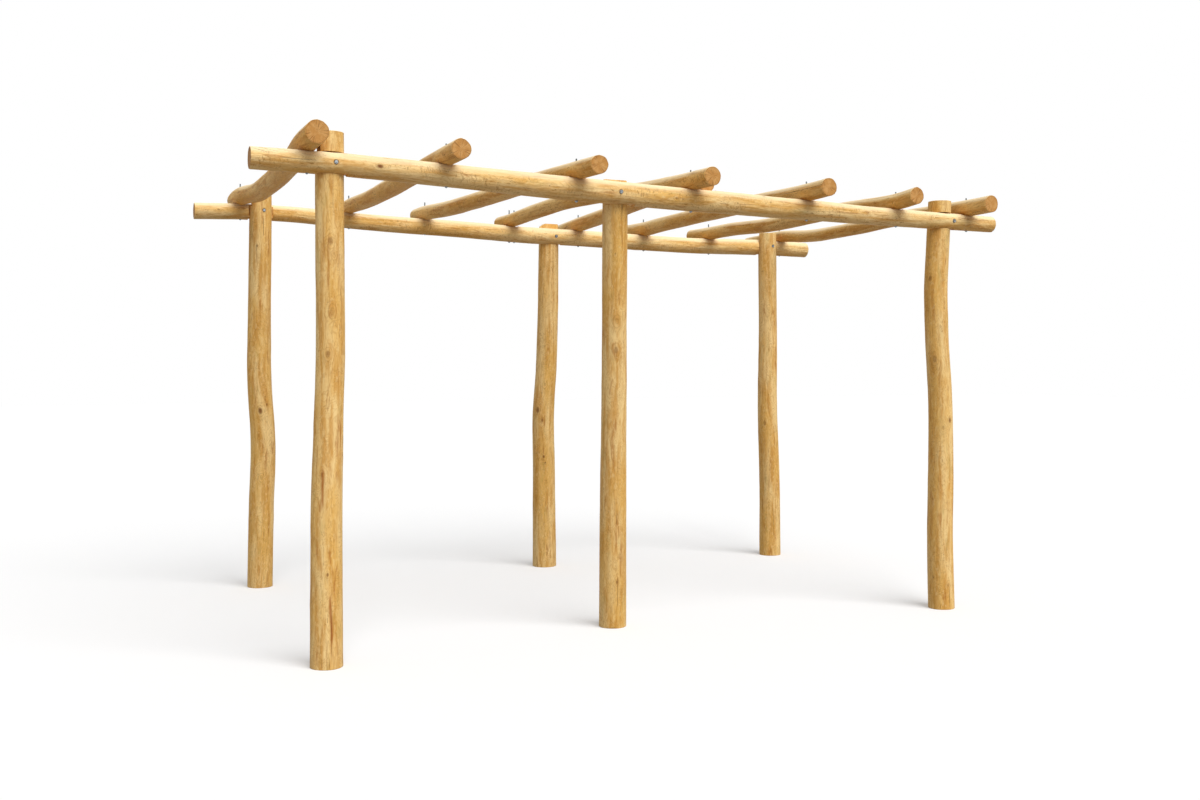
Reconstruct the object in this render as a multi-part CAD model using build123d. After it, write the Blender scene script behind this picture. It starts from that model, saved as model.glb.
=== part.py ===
from build123d import *
from math import atan2, degrees, sqrt
import os

# A garden pergola of debarked round logs: six posts, two long beams lapped onto the
# post heads, and eight rafters across the beams. Bolts hold the beams to the posts,
# and threaded rods hold the rafters to the beams.
# Millimetres. +X runs along the beams, +Y from the front row to the back row, +Z up.

# ---------------------------------------------------------------- overall sizes
front_span = 3396        # between the heads of the two outer posts of the front row
back_span = 3546         # between the heads of the two outer posts of the back row
bay_depth = 2160         # from the front beam's line to the back beam's line
beam_height = 2190       # from the ground to the beams' centre lines, on average

front_row_x = -133       # middle of the front row
back_row_x = -40         # middle of the back row
front_middle_x = 1411    # from the front left post to the front middle post, at the head
back_middle_x = 1892     # from the back left post to the back middle post, at the head

front_left_overhang = 354     # beam past its outer post
front_right_overhang = 332
back_left_overhang = 379
back_right_overhang = 348

log_sections = 15        # circles that each bent log is drawn through, with straight sides between

# ---------------------------------------------------------------- joints between logs
lap_depth = 14           # how far a beam's side is let into its post's cheek
shoulder_depth = 6       # how far a beam's belly is cut flat to sit on a post's shoulder
head_behind_cheek = 4    # a post's own centre line, behind the cheek
seat_depth = 5           # flat cut in a beam's top and in a rafter's belly where they cross
notch_room = 5           # room beyond the logs at the ends of each notch
head_room = 1            # over a beam, where a post's head is left round above it
side_room = 3            # room between a post's head and a rafter that passes beside it

# ---------------------------------------------------------------- bolts and rods
bolt_diameter = 10
bolt_head_width = 16     # across the flats
bolt_head_height = 7
washer_diameter = 18
washer_thickness = 2
nut_height = 8
bolt_end = 10            # thread showing past the nut
spot_depth = 5           # flat let into a round log under a washer
spot_room = 3            # room round a washer in its flat
rod_diameter = 8
rod_nut_width = 13
rod_nut_height = 6
rod_washer_diameter = 15
rod_washer_thickness = 2
rod_spot_depth = 6
rod_above_front = 12     # rod standing proud of a rafter's back, over the front beam
rod_above_back = 22      # and over the back beam
rod_below = 3            # rod showing under its nut
hole_clearance = 0.3     # all round a bolt or rod in its hole
rod_pair_spacing = 34    # between the two rods of a doubled fixing

# ---------------------------------------------------------------- beams
# Each station is (share of the length, sideways, up, radius): how far the log's centre
# wanders from the straight line between the rows, and how thick it is there.
front_beam = {
    "y": -bay_depth / 2,
    "left": front_row_x - front_span / 2 - front_left_overhang,
    "right": front_row_x + front_span / 2 + front_right_overhang,
    "stations": [(0, 0, 48, 49), (0.1, 2, 46, 51), (0.17, 4, 34, 52), (0.28, 6, 16, 55),
                 (0.42, 6, -4, 58), (0.54, 2, -17, 58), (0.68, -2, -30, 54), (0.82, -3, -42, 48),
                 (1, 0, -48, 45)],
}
back_beam = {
    "y": bay_depth / 2,
    "left": back_row_x - back_span / 2 - back_left_overhang,
    "right": back_row_x + back_span / 2 + back_right_overhang,
    "stations": [(0, 0, 69, 47.5), (0.09, 0, 82, 47.5), (0.29, -5, 45, 50.5), (0.53, -8, 13, 53.5),
                 (0.78, -4, -3, 53), (0.93, 0, 10, 55), (1, 0, 3, 53)],
}


def blend(rows, share, column):
    """Read one column of a station table at a share of the length, eased between stations."""
    for low, high in zip(rows, rows[1:]):
        if share <= high[0]:
            part = max((share - low[0]) / (high[0] - low[0]), 0)
            eased = part * part * (3 - 2 * part)
            return low[column] + eased * (high[column] - low[column])
    return rows[-1][column]


def beam_at(beam, x):
    """Centre (y, z) and radius of a beam at a place along it."""
    share = (x - beam["left"]) / (beam["right"] - beam["left"])
    y = beam["y"] + blend(beam["stations"], share, 1)
    z = beam_height + blend(beam["stations"], share, 2)
    return y, z, blend(beam["stations"], share, 3)


# ---------------------------------------------------------------- posts
# head_side is -1 where the beam lies in front of the post's head and 1 where it lies behind.
# above is the head's height over the beam's back, and foot is how far the foot stands from
# the head. A round head keeps the log's full thickness over the beam, and any other is cut
# back to the cheek. corner_off is the width and height of a head's sawn-off left corner.
# Each bend is (share of height, x, y), from the straight line between the two.
posts = {
    "front_left_post": {
        "x": front_row_x - front_span / 2, "beam": front_beam, "head_side": -1, "above": 93,
        "round_head": True, "foot": (-15, -6),
        "bends": [(0.3, -3, 4), (0.45, 4, 2), (0.6, 12, 0), (0.78, 5, -2), (0.9, 2, 0)],
        "radii": (73, 69, 65, 64, 63),
    },
    "front_middle_post": {
        "x": front_row_x - front_span / 2 + front_middle_x, "beam": front_beam, "head_side": -1,
        "above": 15, "foot": (100, 250),
        "bends": [(0.3, 1, 6), (0.55, 3, 8), (0.75, 1, 4), (0.9, 0, 0)],
        "radii": (70, 68, 64, 62.5, 62.5),
    },
    "front_right_post": {
        "x": front_row_x + front_span / 2, "beam": front_beam, "head_side": -1, "above": 68,
        "round_head": True, "foot": (-16, -33),
        "bends": [(0.17, -6, 3), (0.35, 6, 6), (0.5, 4, 4), (0.66, -21, 2), (0.8, -32, 0),
                  (0.9, -11, 0)],
        "radii": (72, 69.5, 64.5, 63, 62.5),
    },
    "back_left_post": {
        "x": back_row_x - back_span / 2, "beam": back_beam, "head_side": 1, "above": 48,
        "foot": (14, 108),
        "bends": [(0.2, 6, 0), (0.35, 20, 4), (0.56, -8, 6), (0.72, -5, 4), (0.9, 0, 0)],
        "radii": (74.5, 73, 70, 67, 66),
    },
    "back_middle_post": {
        "x": back_row_x - back_span / 2 + back_middle_x, "beam": back_beam, "head_side": -1,
        "above": 38, "corner_off": (38, 25), "foot": (-10, 55),
        "bends": [(0.28, -12, 3), (0.44, -23, 4), (0.6, -2, 3), (0.78, 1, 0), (0.9, 0, 0)],
        "radii": (78, 76, 71.5, 68.5, 66),
    },
    "back_right_post": {
        "x": back_row_x + back_span / 2, "beam": back_beam, "head_side": 1, "above": 40,
        "foot": (-9, -53),
        "bends": [(0.2, 4, 2), (0.46, -7, 6), (0.7, 1, 2), (0.9, 0, 0)],
        "radii": (74, 71, 68, 64.5, 64.5),
    },
}

# ---------------------------------------------------------------- rafters
first_rafter_out_front = 108  # first rafter, outward from the left post's head
first_rafter_out_back = 114
last_rafter_out_front = 157   # last rafter, outward from the right post's head
last_rafter_out_back = 131
rafter_gap = 5                # between the fourth rafter and the short fifth one beside it

# front and back say where a rafter crosses each beam: the bay, 1 left of the middle post or
# 2 right of it, and the share of the way across that bay. out is how far the rafter reaches
# past each beam's line, and ends says how far its front and its back end swing, as (x, up).
# Each bend is (share of the way from the front beam to the back beam, x, up).
rafters = [
    {"radii": (53, 56, 53), "out": (150, 190), "ends": ((17, 18), (0, -6)),
     "bends": [(0.25, 30, -15), (0.5, 40, -27), (0.75, 38, -30)]},
    {"front": (1, 0.375), "back": (1, 0.285), "radii": (46, 50, 46), "out": (240, 165),
     "ends": ((0, -2), (0, -6)), "bends": [(0.25, -4, -11), (0.5, 8, -12), (0.75, 8, -14)]},
    {"front": (1, 0.837), "back": (1, 0.542), "radii": (45, 46, 45), "out": (240, 150),
     "ends": ((0, 0), (0, -4)), "bends": [(0.25, 0, 0), (0.5, 4, -9), (0.78, 2, -15)]},
    {"front": (2, 0.198), "back": (1, 0.852), "radii": (46, 46, 46), "out": (200, 180),
     "ends": ((0, 4), (0, -4)), "bends": [(0.22, 0, 5), (0.42, 0, 36), (0.64, 0, 44), (0.84, 0, 25)]},
    {"back": (2, 0.118), "radii": (43, 45, 46), "out": (0, 400), "ends": ((0, 0), (0, -6)),
     "bends": [(0.25, 0, 22), (0.45, 0, 20), (0.75, 0, 4)]},
    {"front": (2, 0.544), "back": (2, 0.414), "radii": (47, 47, 48), "out": (225, 330),
     "ends": ((0, 4), (0, 10)), "bends": [(0.28, 0, 10), (0.6, 0, 10), (0.85, 0, 8)]},
    {"front": (2, 0.834), "back": (2, 0.724), "radii": (45, 45, 45), "out": (185, 255),
     "ends": ((0, 18), (0, 4)), "bends": [(0.25, 0, 8), (0.62, 0, -10), (0.85, 0, 5)]},
    {"radii": (46, 43, 41), "out": (220, 485), "ends": ((0, 6), (0, -15)),
     "bends": [(0.28, 0, 2), (0.55, 0, -24), (0.78, 0, -32)]},
]
doubled_rods = (4,)      # rafters with two rods at the back beam


# ================================================================ shapes
def round_log(section_at, low, high, main_axis):
    """A bent log through evenly spaced circles; section_at(share) is (x, y, z, radius)."""
    across = tuple(1 - part for part in main_axis)
    rings = []
    for step in range(log_sections):
        share = low + (high - low) * step / (log_sections - 1)
        x, y, z, radius = section_at(share)
        rings.append(Plane(origin=(x, y, z), x_dir=across, z_dir=main_axis) * Circle(radius))
    return loft(rings, ruled=True)


def block(low, high):
    """A plain block between two corners."""
    size = [b - a for a, b in zip(low, high)]
    middle = [(a + b) / 2 for a, b in zip(low, high)]
    return Pos(*middle) * Box(*size)


def half_chord(radius, depth):
    """Half the width of the flat left by cutting a round log to a depth."""
    return sqrt(radius ** 2 - (radius - depth) ** 2)


def rod(start, end, radius):
    """A straight round bar between two points on one axis."""
    length = (Vector(*end) - Vector(*start)).length
    plane = Plane(origin=start, z_dir=tuple(Vector(*end) - Vector(*start)))
    return plane * Cylinder(radius, length, align=(Align.CENTER, Align.CENTER, Align.MIN))


def hexagon_bar(start, end, width):
    """A six-sided head or nut between two points on one axis."""
    way = Vector(*end) - Vector(*start)
    plane = Plane(origin=start, z_dir=tuple(way))
    return extrude(plane * RegularPolygon(width / 2, 6, major_radius=False), amount=way.length)


# ================================================================ beams and posts
def beam_solid(beam):
    def section_at(share):
        x = beam["left"] + share * (beam["right"] - beam["left"])
        return (x, *beam_at(beam, x))
    return round_log(section_at, 0, 1, (1, 0, 0))


def lap_planes(post):
    """The beam's centre at a post, the cheek's y, the shoulder's z and the beam's radius."""
    y, z, radius = beam_at(post["beam"], post["x"])
    cheek = y - post["head_side"] * (radius - lap_depth)
    return y, z, cheek, z - radius + shoulder_depth, radius


def post_top(post):
    _, z, _, _, radius = lap_planes(post)
    return z + radius + post["above"]


def post_at(post, share):
    """Centre and radius of a post's log at a share of its height, 0 at the foot."""
    _, _, cheek, _, _ = lap_planes(post)
    head_x, head_y = post["x"], cheek - post["head_side"] * head_behind_cheek
    bends = [(0, 0, 0), *post["bends"], (1, 0, 0)]
    girths = [(step / (len(post["radii"]) - 1), radius) for step, radius in enumerate(post["radii"])]
    x = head_x + (1 - share) * post["foot"][0] + blend(bends, share, 1)
    y = head_y + (1 - share) * post["foot"][1] + blend(bends, share, 2)
    return x, y, share * post_top(post), blend(girths, share, 1)


def post_solid(post):
    """The bent log, with a level shoulder and an upright cheek cut into it for the beam."""
    log = round_log(lambda share: post_at(post, share), 0, 1, (0, 0, 1))
    top = post_top(post)
    _, _, cheek, shoulder, _ = lap_planes(post)
    reach = 2 * max(post["radii"])
    low_x, high_x = post["x"] - reach, post["x"] + reach
    low_y, high_y = sorted((cheek, cheek + post["head_side"] * reach))
    ceiling = top + reach
    if "round_head" in post:
        across = [post["x"] + side * post["radii"][-1] for side in (-1, 0, 1)]
        backs = [sum(beam_at(post["beam"], x)[1:]) for x in across]
        ceiling = max(backs) + head_room
    cuts = [block((low_x, low_y, shoulder), (high_x, high_y, ceiling))]
    if "corner_off" in post:
        width, height = post["corner_off"]
        x, y, _, radius = post_at(post, 1)
        slope = Rot(0, -degrees(atan2(height, width)), 0)
        cuts.append(Pos(x - radius + width, y, top) * slope * block((-reach, -reach, 0), (reach,) * 3))
    return log - cuts


def lap_cuts(post):
    """What a beam loses at a post: its side against the cheek and its belly on the shoulder."""
    y, z, cheek, shoulder, radius = lap_planes(post)
    around = [post_at(post, height / post_top(post)) for height in (shoulder - radius, shoulder, z)]
    low_x = min(x - post_radius for x, _, _, post_radius in around) - notch_room
    high_x = max(x + post_radius for x, _, _, post_radius in around) + notch_room
    low_y, high_y = sorted((cheek, cheek - post["head_side"] * radius))
    side = block((low_x, low_y, z - 2 * radius), (high_x, high_y, z + 2 * radius))
    belly = block((low_x, y - 2 * radius, z - 2 * radius), (high_x, y + 2 * radius, shoulder))
    return [side, belly]


# ================================================================ rafters
def rafter_place(index, row):
    """The x where a rafter crosses the front or the back row's beam."""
    left, middle, right = [posts[f"{row}_{side}_post"]["x"] for side in ("left", "middle", "right")]
    if index == 0:
        return left - (first_rafter_out_front if row == "front" else first_rafter_out_back)
    if index == len(rafters) - 1:
        return right + (last_rafter_out_front if row == "front" else last_rafter_out_back)
    if row not in rafters[index]:
        beside, own = rafters[index - 1]["radii"][0], rafters[index]["radii"][0]
        return rafter_place(index - 1, row) + beside + own + rafter_gap
    bay, share = rafters[index][row]
    start, end = (left, middle) if bay == 1 else (middle, right)
    return start + share * (end - start)


def seat_height(beam, x):
    """Height of the flat where a rafter sits on a beam."""
    _, z, radius = beam_at(beam, x)
    return z + radius - seat_depth


def rafter_radius(rafter, share):
    front, middle, back = rafter["radii"]
    if share <= 0.5:
        return front + max(share, 0) * 2 * (middle - front)
    return middle + (min(share, 1) - 0.5) * 2 * (back - middle)


def crossing(rafter, place, beam, share):
    """Centre of a rafter where it crosses a beam, and its radius there."""
    radius = rafter_radius(rafter, share)
    y, _, _ = beam_at(beam, place)
    return place, y, seat_height(beam, place) - seat_depth + radius, radius


def rafter_crossings(index):
    rafter = rafters[index]
    front = crossing(rafter, rafter_place(index, "front"), front_beam, 0)
    back = crossing(rafter, rafter_place(index, "back"), back_beam, 1)
    return front, back


def rafter_at(index, share):
    """Centre and radius of a rafter: 0 is over the front beam and 1 over the back beam."""
    rafter = rafters[index]
    front, back = rafter_crossings(index)
    front_share, back_share = rafter_ends(index)
    rows = [(0, 0, 0), *rafter["bends"], (1, 0, 0), (back_share, *rafter["ends"][1])]
    if front_share < 0:
        rows.insert(0, (front_share, *rafter["ends"][0]))
    x, y, z = [a + share * (b - a) for a, b in zip(front[:3], back[:3])]
    return x + blend(rows, share, 1), y, z + blend(rows, share, 2), rafter_radius(rafter, share)


def rafter_ends(index):
    """The rafter's two ends as shares of the way between the beams."""
    front, back = rafter_crossings(index)
    front_out, back_out = rafters[index]["out"]
    length = back[1] - front[1]
    return -front_out / length, 1 + back_out / length


def rafter_solid(index):
    low, high = rafter_ends(index)
    return round_log(lambda share: rafter_at(index, share), low, high, (0, 1, 0))


def seat_cut_in_rafter(beam, place, radius):
    """Flat in a rafter's belly where it rests on a beam."""
    y, _, beam_radius = beam_at(beam, place)
    seat = seat_height(beam, place)
    half = half_chord(beam_radius, 2 * seat_depth + notch_room) + notch_room
    return block((place - 2 * radius, y - half, seat - radius), (place + 2 * radius, y + half, seat))


def seat_cut_in_beam(beam, place, radius, slant):
    """Flat in a beam's back where a rafter crosses it."""
    y, _, beam_radius = beam_at(beam, place)
    seat = seat_height(beam, place)
    half = half_chord(radius, 2 * seat_depth + notch_room) + notch_room + abs(slant) * beam_radius
    return block((place - half, y - beam_radius, seat), (place + half, y + beam_radius, seat + radius))


# ================================================================ bolts and rods
# Bolts that were bored off the middle of their post, and how far to the right.
bolt_shift = {"front_left_post": 11, "front_middle_post": -17, "front_right_post": 35,
              "back_left_post": 12, "back_middle_post": 16, "back_right_post": 9}


def bolt_line(post, name):
    """Where a bolt's washers sit, front and back, and its place across the post."""
    x = post["x"] + bolt_shift[name]
    y, z, radius = beam_at(post["beam"], x)
    head_x, head_y, _, post_radius = post_at(post, z / post_top(post))
    beam_face = y + post["head_side"] * (radius - spot_depth)
    post_face = head_y - post["head_side"] * (sqrt(post_radius ** 2 - (x - head_x) ** 2) - spot_depth)
    return x, z, min(beam_face, post_face), max(beam_face, post_face)


def bolt_solid(post, name):
    x, z, front, back = bolt_line(post, name)
    under_head = front - washer_thickness
    under_nut = back + washer_thickness
    nut_end = under_nut + nut_height
    head_end = under_head - bolt_head_height
    shank = rod((x, head_end, z), (x, nut_end + bolt_end, z), bolt_diameter / 2)
    head = hexagon_bar((x, under_head, z), (x, head_end, z), bolt_head_width)
    nut = hexagon_bar((x, under_nut, z), (x, nut_end, z), bolt_head_width)
    front_washer = rod((x, front, z), (x, under_head, z), washer_diameter / 2)
    back_washer = rod((x, back, z), (x, under_nut, z), washer_diameter / 2)
    return shank + front_washer + head + back_washer + nut


def bolt_holes(post, name):
    """The hole through beam and post, with a flat for each washer."""
    x, z, front, back = bolt_line(post, name)
    out = 3 * spot_depth + washer_thickness
    hole = rod((x, front - out, z), (x, back + out, z), bolt_diameter / 2 + hole_clearance)
    spot = washer_diameter / 2 + spot_room
    front_spot = rod((x, front - out, z), (x, front, z), spot)
    return [hole, front_spot, rod((x, back, z), (x, back + out, z), spot)]


def rod_places(index, beam):
    """The rods of a rafter at one beam: (x, y, top of the rod, washer face under the beam)."""
    front, back = rafter_crossings(index)
    if beam is front_beam and rafters[index]["out"][0] == 0:
        return []
    x, y, z, radius = front if beam is front_beam else back
    _, beam_z, beam_radius = beam_at(beam, x)
    double = beam is back_beam and index + 1 in doubled_rods
    offsets = (-rod_pair_spacing / 2, rod_pair_spacing / 2) if double else (0,)
    face = beam_z - beam_radius + rod_spot_depth
    above = rod_above_front if beam is front_beam else rod_above_back
    return [(x + offset, y, z + radius + above, face) for offset in offsets]


def rod_solids(index):
    pieces = []
    for x, y, top, face in rod_places(index, front_beam) + rod_places(index, back_beam):
        under_washer = face - rod_washer_thickness
        under_nut = under_washer - rod_nut_height
        bar = rod((x, y, under_nut - rod_below), (x, y, top), rod_diameter / 2)
        washer = rod((x, y, under_washer), (x, y, face), rod_washer_diameter / 2)
        nut = hexagon_bar((x, y, under_nut), (x, y, under_washer), rod_nut_width)
        pieces.append(bar + washer + nut)
    return pieces


def rod_holes(index, beam):
    holes = []
    for x, y, top, face in rod_places(index, beam):
        out = 4 * rod_spot_depth
        holes.append(rod((x, y, face - out), (x, y, top + out), rod_diameter / 2 + hole_clearance))
        holes.append(rod((x, y, face - out), (x, y, face), rod_washer_diameter / 2 + spot_room))
    return holes


# ================================================================ putting it together
def beside_rafters(post):
    """What a post's head loses where a rafter passes close beside it."""
    head_x, head_y, _, head_radius = post_at(post, 1)
    cuts = []
    for index in range(len(rafters)):
        front, back = rafter_crossings(index)
        shares = [(head_y + side * head_radius - front[1]) / (back[1] - front[1]) for side in (-1, 1)]
        ends = [rafter_at(index, share) for share in shares]
        low_x = min(x - radius for x, _, _, radius in ends) - side_room
        high_x = max(x + radius for x, _, _, radius in ends) + side_room
        low_z = min(z - radius for _, _, z, radius in ends) - side_room
        if low_x < head_x + head_radius and high_x > head_x - head_radius:
            away = -2 * head_radius if (low_x + high_x) / 2 < head_x else 2 * head_radius
            low_x, high_x = min(low_x, low_x + away), max(high_x, high_x + away)
            cuts.append(block((low_x, head_y - 2 * head_radius, low_z),
                              (high_x, head_y + 2 * head_radius, post_top(post) + head_radius)))
    return cuts


def build_nodes():
    nodes = {}
    beam_cuts = {"front_beam": [], "back_beam": []}
    rows = {"front_beam": front_beam, "back_beam": back_beam}

    for name, post in posts.items():
        holes = bolt_holes(post, name)
        nodes[name] = post_solid(post) - [*holes, *beside_rafters(post)]
        beam_name = "front_beam" if post["beam"] is front_beam else "back_beam"
        beam_cuts[beam_name] += [*lap_cuts(post), *holes]

    for index in range(len(rafters)):
        crossings = rafter_crossings(index)
        slant = (crossings[1][0] - crossings[0][0]) / (crossings[1][1] - crossings[0][1])
        cuts = []
        for name, (x, _, _, radius) in zip(rows, crossings):
            cuts.append(seat_cut_in_rafter(rows[name], x, radius))
            beam_cuts[name].append(seat_cut_in_beam(rows[name], x, radius, slant))
            beam_cuts[name] += rod_holes(index, rows[name])
            cuts += rod_holes(index, rows[name])
        nodes[f"rafter_{index + 1}"] = rafter_solid(index) - cuts

    for name, beam in rows.items():
        nodes[name] = beam_solid(beam) - beam_cuts[name]
    for name, post in posts.items():
        nodes[name.replace("_post", "_bolt")] = bolt_solid(post, name)
    for index in range(len(rafters)):
        nodes[f"rafter_{index + 1}_rods"] = Compound(children=rod_solids(index))
    return nodes


def write_steps(nodes):
    """Move the model so that the origin is under the middle of its box, and write it."""
    box = Compound(children=[part.moved(Location()) for part in nodes.values()]).bounding_box()
    shift = Pos(-(box.min.X + box.max.X) / 2, -(box.min.Y + box.max.Y) / 2, -box.min.Z)
    for name, part in nodes.items():
        export_step(shift * part, f"parts/{name}.step")
    print("shift", [round(v, 3) for v in shift.position])
    print("size", [round(v, 1) for v in box.size])


os.makedirs("parts", exist_ok=True)
write_steps(build_nodes())
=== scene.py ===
import bmesh
import bpy
import numpy as np
from itertools import product
from math import cos, pi, radians, sin
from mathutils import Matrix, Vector
from mathutils.bvhtree import BVHTree


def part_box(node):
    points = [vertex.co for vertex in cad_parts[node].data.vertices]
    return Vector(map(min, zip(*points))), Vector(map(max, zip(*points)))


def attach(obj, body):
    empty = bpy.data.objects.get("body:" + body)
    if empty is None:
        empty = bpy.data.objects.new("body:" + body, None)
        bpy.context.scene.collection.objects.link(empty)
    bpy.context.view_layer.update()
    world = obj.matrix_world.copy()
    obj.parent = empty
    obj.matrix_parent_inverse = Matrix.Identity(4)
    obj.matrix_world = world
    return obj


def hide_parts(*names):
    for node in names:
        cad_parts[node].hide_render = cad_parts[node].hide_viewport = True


# The looks of a round-log pergola: each log is rebuilt on the frame's own log, with the
# swells, knots, tool facets, drying checks and sawn ends that peeled pine has, and each bolt
# and rod is rebuilt with its hexagons and its thread.

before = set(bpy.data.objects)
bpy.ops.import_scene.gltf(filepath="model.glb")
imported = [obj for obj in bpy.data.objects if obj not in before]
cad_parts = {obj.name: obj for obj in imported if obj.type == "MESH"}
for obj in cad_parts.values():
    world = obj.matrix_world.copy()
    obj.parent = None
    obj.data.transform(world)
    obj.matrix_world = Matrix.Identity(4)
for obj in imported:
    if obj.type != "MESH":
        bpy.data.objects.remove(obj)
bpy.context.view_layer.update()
MM = 0.001


# ================================================================ colours and materials
def linear(hex_colour):
    """An sRGB hex colour as linear red, green, blue and alpha."""
    parts = [int(hex_colour[i:i + 2], 16) / 255 for i in (1, 3, 5)]
    return [c / 12.92 if c <= 0.04045 else ((c + 0.055) / 1.055) ** 2.4 for c in parts] + [1]


def add(tree, kind, inputs=(), **settings):
    """Adds a shader node; inputs holds plain values or the sockets that feed it."""
    made = tree.nodes.new("ShaderNode" + kind)
    for name, value in settings.items():
        setattr(made, name, value)
    for name, value in dict(inputs).items():
        if isinstance(value, bpy.types.NodeSocket):
            tree.links.new(value, made.inputs[name])
        else:
            made.inputs[name].default_value = value
    return made.outputs


def new_material(name):
    """An empty material and its node tree."""
    material = bpy.data.materials.new(name)
    material.use_nodes = True
    material.node_tree.nodes.clear()
    return material, material.node_tree


def log_layers(tree):
    """What each log's mesh carries: its grain coordinates in metres, and its knots, checks,
    stains, cut faces and nearness to a knot."""
    grain, marks, shape = (add(tree, "Attribute", attribute_name=title)["Vector"]
                           for title in ("grain", "marks", "shape"))
    marks, shape = (add(tree, "SeparateXYZ", {0: vector}) for vector in (marks, shape))
    return grain, marks[0], marks[1], marks[2], shape[0], shape[1]


def mottled(tree, grain, across, along, detail=3, rough=0.5, distort=0.0):
    """An uneven pattern; its lumps' size across the grain and along it is in millimetres."""
    lumps_a_metre = (1 / (across * MM), 1 / (across * MM), 1 / (along * MM))
    spread = add(tree, "VectorMath", {0: grain, 1: lumps_a_metre}, operation="MULTIPLY")
    return add(tree, "TexNoise", {"Vector": spread[0], "Scale": 1.0, "Detail": detail,
                                  "Roughness": rough, "Distortion": distort})[0]


def gathered(tree, pattern, low, high, places, few, many):
    """A pattern's high spots, from low to high, kept only where a broader one, places, runs
    from few to many."""
    spots, room = (add(tree, "MapRange", {"Value": value, "From Min": start, "From Max": end},
                       interpolation_type="SMOOTHSTEP")[0]
                   for value, start, end in ((pattern, low, high), (places, few, many)))
    return add(tree, "Math", {0: spots, 1: room}, operation="MULTIPLY")[0]


def layered(tree, colour, layers):
    """Colours laid over one another; each shows as its pattern goes from low to high, share at most."""
    for pattern, low, high, share, over in layers:
        cover = add(tree, "MapRange", {"Value": pattern, "From Min": low, "From Max": high,
                                       "To Max": share}, interpolation_type="SMOOTHSTEP")
        colour = add(tree, "Mix", {0: cover[0], 6: colour, 7: linear(over)}, data_type="RGBA")[2]
    return colour


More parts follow.
